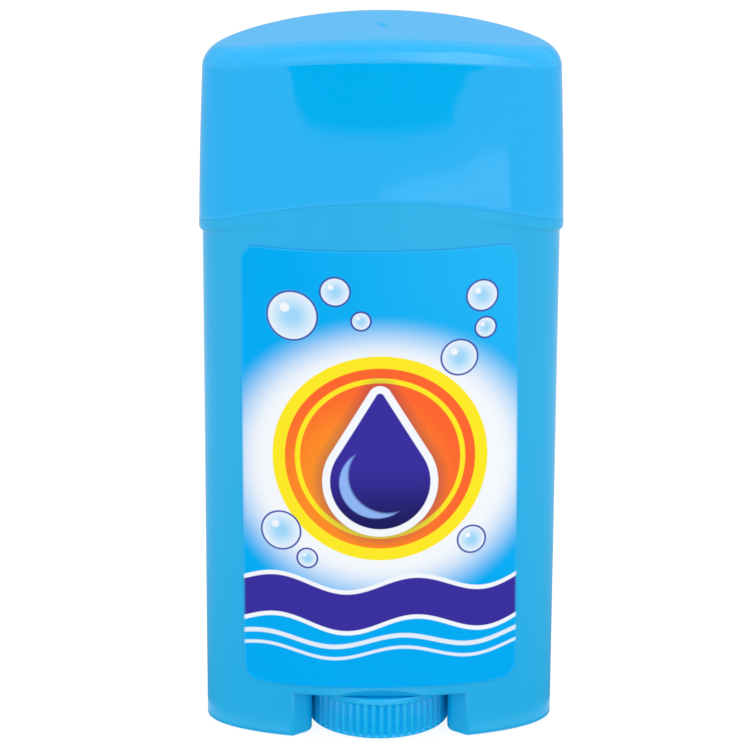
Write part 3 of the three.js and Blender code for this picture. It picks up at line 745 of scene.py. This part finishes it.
GLINT_LEFT, GLINT_UP, GLINT_SIZE, GLINT_EDGE = 0.3, 0.34, 0.2, 0.3
BUBBLES = ((-15.0, 28.0, 4.2), (-7.6, 32.6, 2.4), (-3.2, 27.4, 1.5), (13.6, 20.4, 3.0), (18.2, 25.4, 1.7),
           (-17.2, -11.2, 3.3), (-12.6, -16.0, 1.6), (15.8, -13.0, 2.3), (17.6, 31.2, 2.6))
WAVE, BAND_DOWN, BAND_SWELL, BAND_HALF, BAND_BORDER = 0.262, 24.4, 1.5, 3.4, 4.2
THIN_SWELL, THIN_LAG, THIN_SHARE, THIN_WAVES = 1.1, 0.6, 0.85, ((-31.2, 0.42), (-33.4, 0.3))
# Painted highlight along the film's edge, at its sides and top
RIM_WIDTH, RIM_FADE, RIM_HIGHLIGHT_SHARE = 0.42, 0.3, 0.4
RIM_SIDE, RIM_SIDE_FADE, RIM_TOP_FADE = 17.0, 5.0, 10.0


def label_print():
    """Printed film: blue ground, a soft glow, a warm disc with a drop, bubbles and a wave band, with a
    painted highlight along the film's edge.
    """
    finish = Finish("label_print")
    where = finish.node("ShaderNodeUVMap", {"uv_map": "print"})
    across = finish.node("ShaderNodeSeparateXYZ", {}, {0: where}, "X") * PRINT_UNIT
    up = finish.node("ShaderNodeSeparateXYZ", {}, {0: where}, "Y") * PRINT_UNIT

    def reach(x, y, wide=1.0):
        """Distance from a point, measured wide times shorter across."""
        side, rise = (across - x) * (1.0 / wide), up - y
        return (side * side + rise * rise).root()

    def cover(distance, soft=PRINT_EDGE):
        """1 inside and 0 outside, falling evenly over a soft edge at distance 0."""
        return (0.5 - distance / soft).clip()

    white, indigo, navy = linear(247, 250, 255), linear(58, 48, 160), linear(30, 28, 92)
    yellow, orange, ember = linear(255, 236, 40), linear(255, 172, 30), linear(255, 104, 48)
    ground, sky = linear(0, 173, 246), linear(44, 189, 250)
    shine_blue, bubble_blue, edge_highlight_blue = linear(150, 190, 255), linear(120, 205, 250), linear(64, 190, 252)
    cloud = finish.noise(finish.place(), scale=30.0)
    lighter = across / SKY_ACROSS + up / SKY_UP + (cloud - 0.5) * SKY_CLOUD - SKY_START
    colour = finish.mix(ground, sky, lighter.clip())

    # Soft white glow, leaning, behind the disc
    ripple = ((up - across * GLOW_SLANT) * RIPPLE).sine() * RIPPLE_SWELL
    glow = reach(0.0, DISC_UP, GLOW_WIDE) + ripple
    colour = finish.mix(colour, white, ((GLOW_REACH - glow) / GLOW_FADE).ease())

    # Warm disc with a yellow rim
    disc = reach(0.0, DISC_UP)
    colour = finish.mix(colour, yellow, cover(disc - DISC_RADIUS))
    hotter = (disc + across * EMBER_RIGHT + up * EMBER_UP) / EMBER_REACH
    warm = finish.mix(orange, ember, hotter.ease())
    colour = finish.mix(colour, warm, cover(disc - DISC_WARM))
    colour = finish.mix(colour, yellow, cover(abs(disc - DISC_LINE) - DISC_LINE_HALF))

    # Drop: the outline round a large and a small circle, with the straight sides that touch both
    lean_b = (DROP_LARGE - DROP_SMALL) / DROP_TALL
    lean_a = float(np.sqrt(1 - lean_b ** 2))
    side, rise = abs(across), up + DROP_DOWN
    cut = rise * lean_a - side * lean_b
    below, above = cut < 0.0, cut > lean_a * DROP_TALL
    low = (side * side + rise * rise).root() - DROP_LARGE
    tip = (side * side + (rise - DROP_TALL) * (rise - DROP_TALL)).root() - DROP_SMALL
    flank = side * lean_a + rise * lean_b - DROP_LARGE
    drop = below * low + above * tip + (1.0 - below - above) * flank
    colour = finish.mix(colour, navy, cover(drop - DROP_SHADOW, DROP_SHADOW_FADE) * DROP_SHADOW_SHARE)
    colour = finish.mix(colour, white, cover(drop - DROP_BORDER))
    body = finish.mix(indigo, navy, ((DROP_DARK_UP - rise) / DROP_DARK_RUN).ease())
    colour = finish.mix(colour, body, cover(drop))
    shine = cover(reach(SHINE_X, SHINE_Y) - SHINE_RADIUS, SHINE_EDGE)
    cut_out = cover(reach(CUT_X, CUT_Y) - CUT_RADIUS, CUT_EDGE)
    colour = finish.mix(colour, shine_blue, shine * (1.0 - cut_out) * SHINE_SHARE)

    # Bubbles: white rims round a pale middle, each with a small glint
    for x, y, size in BUBBLES:
        away = reach(x, y)
        glint = reach(x - size * GLINT_LEFT, y + size * GLINT_UP)
        pool = cover(away - size * BUBBLE_POOL, size * BUBBLE_FADE)
        colour = finish.mix(colour, indigo, cover(away - size - BUBBLE_LINE))
        colour = finish.mix(colour, white, cover(away - size))
        colour = finish.mix(colour, bubble_blue, pool * BUBBLE_TINT)
        colour = finish.mix(colour, white, cover(glint - size * GLINT_SIZE, GLINT_EDGE))

    # Wave band with white borders, and two thin waves under it
    band = abs(up + BAND_DOWN - (across * WAVE).sine() * BAND_SWELL)
    colour = finish.mix(colour, white, cover(band - BAND_BORDER))
    colour = finish.mix(colour, indigo, cover(band - BAND_HALF))
    for level, size in THIN_WAVES:
        thin = abs(up - level - (across * WAVE + THIN_LAG).sine() * THIN_SWELL)
        colour = finish.mix(colour, white, cover(thin - size) * THIN_SHARE)

    # Painted highlight on the film's clear edge at its sides and top, paler than the print: the distance to
    # a rounded rectangle
    side = abs(across) - (LABEL_REACH - LABEL_CORNER)
    rise = abs(up) - (LABEL_HALF_HEIGHT - LABEL_CORNER)
    past_side, past_rise = side.larger(0.0), rise.larger(0.0)
    outside = (past_side * past_side + past_rise * past_rise).root()
    rim = outside + side.larger(rise).smaller(0.0) - LABEL_CORNER
    highlight_sides_top = ((abs(across) - RIM_SIDE) / RIM_SIDE_FADE).ease().larger((up / RIM_TOP_FADE).ease())
    colour = finish.mix(colour, edge_highlight_blue, ((rim + RIM_WIDTH) / RIM_FADE).ease() * highlight_sides_top * RIM_HIGHLIGHT_SHARE)
    coat = finish.noise(finish.place(), scale=420.0, detail=3.0)
    fine = finish.noise(finish.place(), scale=3000.0)
    return finish.shade(Base_Color=colour, Roughness=0.3 + (coat - 0.5) * 0.12,
                        Normal=finish.bump(fine * 0.002 + coat * 0.004), Specular_IOR_Level=0.02)


PORE_LEVEL, PORE_GAIN, PORE_SHADE_SHARE = 0.66, 9.0, 0.6


def soap():
    """Cast soap: warm white with drawn-out clouding, small pores darkened by painted shade, and a waxy
    sheen.
    """
    finish = Finish("cast_soap")
    cloud = finish.noise(finish.place((1.0, 1.0, 0.4)), scale=130.0, detail=4.0, roughness=0.6)
    pores = finish.noise(finish.place(), scale=1900.0, detail=2.0, roughness=0.6)
    colour = finish.mix(linear(240, 236, 220), linear(250, 249, 242), cloud.contrast(gain=1.8))
    # Painted shade in the pores: darker where the bump sinks the surface
    pore_shade = ((pores - PORE_LEVEL) * PORE_GAIN).clip() * PORE_SHADE_SHARE
    colour = finish.mix(colour, linear(222, 214, 190), pore_shade)
    return finish.shade(Base_Color=colour, Roughness=0.5 + (cloud - 0.5) * 0.2,
                        Normal=finish.bump(pores * -0.03 + cloud * 0.12), Specular_IOR_Level=0.45)


def natural_plastic():
    """Undyed moulded plastic for the screw and the elevator: milky, with flow marks and a satin grain."""
    finish = Finish("natural_plastic")
    marks = finish.noise(finish.place((1.0, 1.0, 0.3)), scale=160.0, detail=4.0, roughness=0.6)
    grain = finish.noise(finish.place(), scale=4200.0, detail=2.0, roughness=0.6)
    colour = finish.mix(linear(222, 228, 232), linear(240, 243, 245), marks.contrast(gain=1.6))
    return finish.shade(Base_Color=colour, Roughness=0.42 + (marks - 0.5) * 0.2,
                        Normal=finish.bump(grain * 0.006), Specular_IOR_Level=0.5)


# The object

pieces = {
    "cap": make_piece("cap_shell", cap_patches(), "cap", "cap"),
    "barrel": make_piece("barrel_shell", barrel_patches(), "barrel", "barrel",
                         fill_open=True),
    "label": make_piece("label_film", label_patches(), "barrel", "front_label", uv=label_uv),
    "wheel": make_piece("ribbed_wheel", wheel_patches(), "drive", "hand_wheel"),
    "stick": make_piece("soap_stick", stick_patches(), "carriage", "stain_stick"),
    "screw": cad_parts["feed_screw"],
    "elevator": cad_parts["elevator"],
}
natural = natural_plastic()
finishes = {
    "cap": moulded_plastic("cap_plastic", linear(0, 177, 245), linear(0, 181, 248),
                           gloss=0.06, gloss_swing=0.03, grain=0.0004, wave=0.002),
    "barrel": moulded_plastic("barrel_plastic", linear(0, 175, 233), linear(8, 179, 237),
                              gloss=0.28, gloss_swing=0.03, grain=0.001, wave=0.001, specular=0.42),
    # The wheel's blue is lighter than the barrel's: painted light, standing in for the light that reaches it
    # inside the slot
    "wheel": moulded_plastic("wheel_plastic", linear(0, 182, 242), linear(4, 187, 246),
                             gloss=0.25, gloss_swing=0.08, grain=0.004, wave=0.003, specular=0.45),
    "label": label_print(),
    "stick": soap(),
    "screw": natural,
    "elevator": natural,
}
for part, piece in pieces.items():
    piece.data.materials.clear()
    piece.data.materials.append(finishes[part])


# Stage, light and camera, in metres

WHITE = (1.0, 1.0, 1.0, 1.0)
FLOOR_MATT, FLOOR_LIGHT, FLOOR_SEEN = (0.2, 0.2, 0.2, 1.0), 0.65, 0.22


def surface_object(name, points, faces, material):
    """Object on the stage from points and faces."""
    mesh = bpy.data.meshes.new(name)
    mesh.from_pydata(points, [], faces)
    mesh.materials.append(material)
    surface = bpy.data.objects.new(name, mesh)
    bpy.context.scene.collection.objects.link(surface)
    return surface


def card(name, points, material, faces=None):
    """Card that is seen only in reflections: one flat face, unless its faces are given."""
    sheet = surface_object(name, points, [range(len(points))] if faces is None else faces, material)
    for rays in ("camera", "diffuse", "shadow", "transmission"):
        setattr(sheet, "visible_" + rays, False)


def floor_card(name, outline, height, material):
    """Card that lies level, just over the floor."""
    card(name, [(x, y, height) for x, y in outline], material)


def seen_directly(finish):
    """1 for rays from the camera, in a mirror or through glass, 0 for light that falls on surfaces."""
    rays = ("Is Camera Ray", "Is Glossy Ray", "Is Transmission Ray")
    camera_ray, glossy_ray, clear_ray = (finish.node("ShaderNodeLightPath", output=ray) for ray in rays)
    return (camera_ray + glossy_ray + clear_ray).clip()


def even_glow(name, strength):
    """Even emission for a card."""
    finish = Finish(name)
    finish.show(finish.node("ShaderNodeEmission", {}, {"Color": WHITE, "Strength": strength}))
    return finish.material


def stepped_glow(name, level, steps, along_x=False):
    """Emission that rises or falls evenly over each step's stretch, outwards from the middle or along X."""
    finish = Finish(name)
    place = finish.place()
    if along_x:
        away = finish.node("ShaderNodeSeparateXYZ", {}, {0: place}, "X")
    else:
        flat = finish.node("ShaderNodeVectorMath", {"operation": "MULTIPLY"}, {0: place, 1: (1, 1, 0)})
        away = finish.node("ShaderNodeVectorMath", {"operation": "LENGTH"}, {0: flat}, "Value")
    glow = level
    for start, stop, rise in steps:
        glow = glow + ((away - start) / (stop - start)).clip() * rise
    finish.show(finish.node("ShaderNodeEmission", {}, {"Color": glow, "Strength": 1.0}))
    return finish.material


def floor_finish():
    """Pale floor of a light table: partly matt, partly lit and brighter where seen, so shadows stay soft."""
    finish = Finish("pale_floor")
    matt = finish.node("ShaderNodeBsdfDiffuse", {}, {"Color": FLOOR_MATT})
    glow = FLOOR_LIGHT + FLOOR_SEEN * seen_directly(finish)
    lit = finish.node("ShaderNodeEmission", {}, {"Color": glow, "Strength": 1.0})
    finish.show(finish.node("ShaderNodeAddShader", {}, {0: matt, 1: lit}))
    return finish.material


scene = bpy.context.scene
scene.view_settings.view_transform = "Standard"

FLOOR_HALF = 6.0
floor_corners = FLOOR_HALF * np.array([(-1, -1, 0), (1, -1, 0), (1, 1, 0), (-1, 1, 0)])
surface_object("floor", floor_corners, [(0, 1, 2, 3)], floor_finish())

WORLD_LIGHT = 1.0
world = bpy.data.worlds.new("white_room")
scene.world = world
world.use_nodes = True
room = Finish("white_room", world.node_tree)
room_light = room.node("ShaderNodeBackground", {}, {"Color": WHITE, "Strength": WORLD_LIGHT})
room.show(room_light, "ShaderNodeOutputWorld")

LAMP_SIZE, LAMP_POWER, LAMP_DISTANCE, LAMP_SIDE = 1.0, 2.6, 1.5, Vector((0.2, -0.45, 0.9))
lamp_data = bpy.data.lights.new("soft_lamp", "AREA")
lamp_data.size = LAMP_SIZE
lamp_data.energy = LAMP_POWER
lamp = bpy.data.objects.new("soft_lamp", lamp_data)
scene.collection.objects.link(lamp)
lamp.location = LAMP_SIDE.normalized() * LAMP_DISTANCE
lamp.rotation_euler = lamp.location.to_track_quat("Z", "Y").to_euler()
lamp.visible_glossy = False

# Floor as the gloss shows it, stacked cards over it: dark near the foot, painted shade for the part's own
# shadow on the floor as reflections see it, and lighter further out
SHEEN_HEIGHT, RIM_HEIGHT, APRON_HEIGHT, PATCH_HEIGHT = 0.0004, 0.0006, 0.0007, 0.0008
SHEEN_RADIUS, SHEEN_CORNERS = 1.2, 48
SHEEN_STEPS = ((0.018, 0.024, 0.15), (0.033, 0.043, 0.08), (0.043, 0.076, 0.2), (0.076, 0.125, 0.3),
               (0.125, 0.17, 0.22), (0.244, 0.32, -0.27))
sheen_turn = np.linspace(0, 2 * np.pi, SHEEN_CORNERS, endpoint=False)
sheen_edge = SHEEN_RADIUS * np.stack([np.cos(sheen_turn), np.sin(sheen_turn)], -1)
# Painted shade near the foot, seen only in reflections
floor_card("floor_shade_sheen", sheen_edge, SHEEN_HEIGHT, stepped_glow("floor_shade_sheen", 0.0, SHEEN_STEPS))

# White floor beside each foot and in front of the wheel
FOOT_GLOW, FOOT_RIM, FOOT_RIM_STEPS, FOOT_RIM_TURN = 1.0, 0.0035, 33, np.radians(60.0)
for side, middle in (("right", 0.0), ("left", np.pi)):
    rim_turn = np.linspace(middle - FOOT_RIM_TURN, middle + FOOT_RIM_TURN, FOOT_RIM_STEPS)
    rings = [oval(BODY_A * MM + out, BODY_B * MM + out, rim_turn, RIM_HEIGHT) for out in (0.0, FOOT_RIM)]
    card("foot_rim_" + side, np.concatenate(rings), even_glow("foot_rim", FOOT_GLOW),
         grid_faces(2, FOOT_RIM_STEPS, False))
APRON = ((-0.012, -0.018), (0.012, -0.018), (0.012, -0.036), (-0.012, -0.036))
floor_card("apron", APRON, APRON_HEIGHT, even_glow("apron", FOOT_GLOW))

# Dark mat and bright patch in front of the part, which show in the cap
DARK_MAT = ((-0.215, -0.434), (-0.285, -0.525), (-0.66, -1.134), (-0.66, -1.2), (0.73, -1.2), (0.73, -0.98),
            (0.31, -0.5), (0.238, -0.471), (0.175, -0.435), (0.17, -0.41), (0.125, -0.416), (0.065, -0.424),
            (0.0, -0.429), (-0.06, -0.426), (-0.12, -0.417), (-0.166, -0.411))
BRIGHT_PATCH = ((0.0, -0.344), (0.038, -0.353), (0.067, -0.36), (0.116, -0.351), (0.178, -0.338),
                (0.214, -0.339), (0.278, -0.29), (0.285, -0.272), (0.24, -0.215), (0.2, -0.2), (0.1, -0.26),
                (0.0, -0.3))
MAT_GLOW, PATCH_GLOW = 0.0, 1.45
floor_card("dark_mat", DARK_MAT, PATCH_HEIGHT, even_glow("dark_mat", MAT_GLOW))
floor_card("bright_patch", BRIGHT_PATCH, PATCH_HEIGHT, even_glow("bright_patch", PATCH_GLOW))

# Softbox: a part of a sphere by azimuth and elevation in degrees, lower on the right
SOFTBOX_GLOW, SOFTBOX_STEPS = 1.4, ((0.0, 0.9, 1.3), (1.6, 2.2, -1.0))
SOFTBOX_RADIUS, SOFTBOX_ROWS, SOFTBOX_COLUMNS = 3.0, 9, 25
SOFTBOX_LEFT, SOFTBOX_RIGHT, SOFTBOX_TOP = -42.0, 68.0, 67.0
SOFTBOX_LOW, SOFTBOX_DIP, DIP_START, DIP_RUN = 20.0, 14.0, 2.0, 18.0
azimuth = np.linspace(SOFTBOX_LEFT, SOFTBOX_RIGHT, SOFTBOX_COLUMNS)[None, :]
share = np.linspace(0.0, 1.0, SOFTBOX_ROWS)[:, None]
lowest = SOFTBOX_LOW - SOFTBOX_DIP * smooth((azimuth - DIP_START) / DIP_RUN)
elevation = np.radians(lowest + (SOFTBOX_TOP - lowest) * share)
around = np.radians(azimuth)
out, up = np.cos(elevation), np.sin(elevation)
dome = np.stack([np.sin(around) * out, -np.cos(around) * out, up], -1) * SOFTBOX_RADIUS
card("softbox", dome.reshape(-1, 3), stepped_glow("softbox", SOFTBOX_GLOW, SOFTBOX_STEPS, True),
     grid_faces(SOFTBOX_ROWS, SOFTBOX_COLUMNS, False))

# Card behind the part
BACKDROP_GLOW = 0.65
BACKDROP = [(-1.5, 1.0, 0.0), (1.5, 1.0, 0.0), (1.5, 1.0, 0.9), (-1.5, 1.0, 0.9)]
card("backdrop", BACKDROP, even_glow("backdrop", BACKDROP_GLOW))

# Camera
CAMERA_PLACE = Vector((-0.022538, -0.999774, 0.427985))
CAMERA_FORWARD = Vector((0.0202771, 0.9391766, -0.3428354)).normalized()
CAMERA_HEADING, CAMERA_ROLL, CAMERA_LENS, CAMERA_SENSOR = 0.021587, 0.004745, 297.622, 36.0
CAMERA_NEAR, CAMERA_FAR = 0.01, 50.0
level_right = Vector((np.cos(CAMERA_HEADING), -np.sin(CAMERA_HEADING), 0.0))
level_up = level_right.cross(CAMERA_FORWARD)
right = level_right * np.cos(CAMERA_ROLL) + level_up * np.sin(CAMERA_ROLL)
upward = level_up * np.cos(CAMERA_ROLL) - level_right * np.sin(CAMERA_ROLL)
camera_data = bpy.data.cameras.new("camera")
camera_data.sensor_width = CAMERA_SENSOR
camera_data.lens = CAMERA_LENS
camera_data.clip_start = CAMERA_NEAR
camera_data.clip_end = CAMERA_FAR
camera = bpy.data.objects.new("camera", camera_data)
scene.collection.objects.link(camera)
axes = Matrix((right, upward, -CAMERA_FORWARD)).transposed()
camera.matrix_world = Matrix.Translation(CAMERA_PLACE) @ axes.to_4x4()
scene.camera = camera
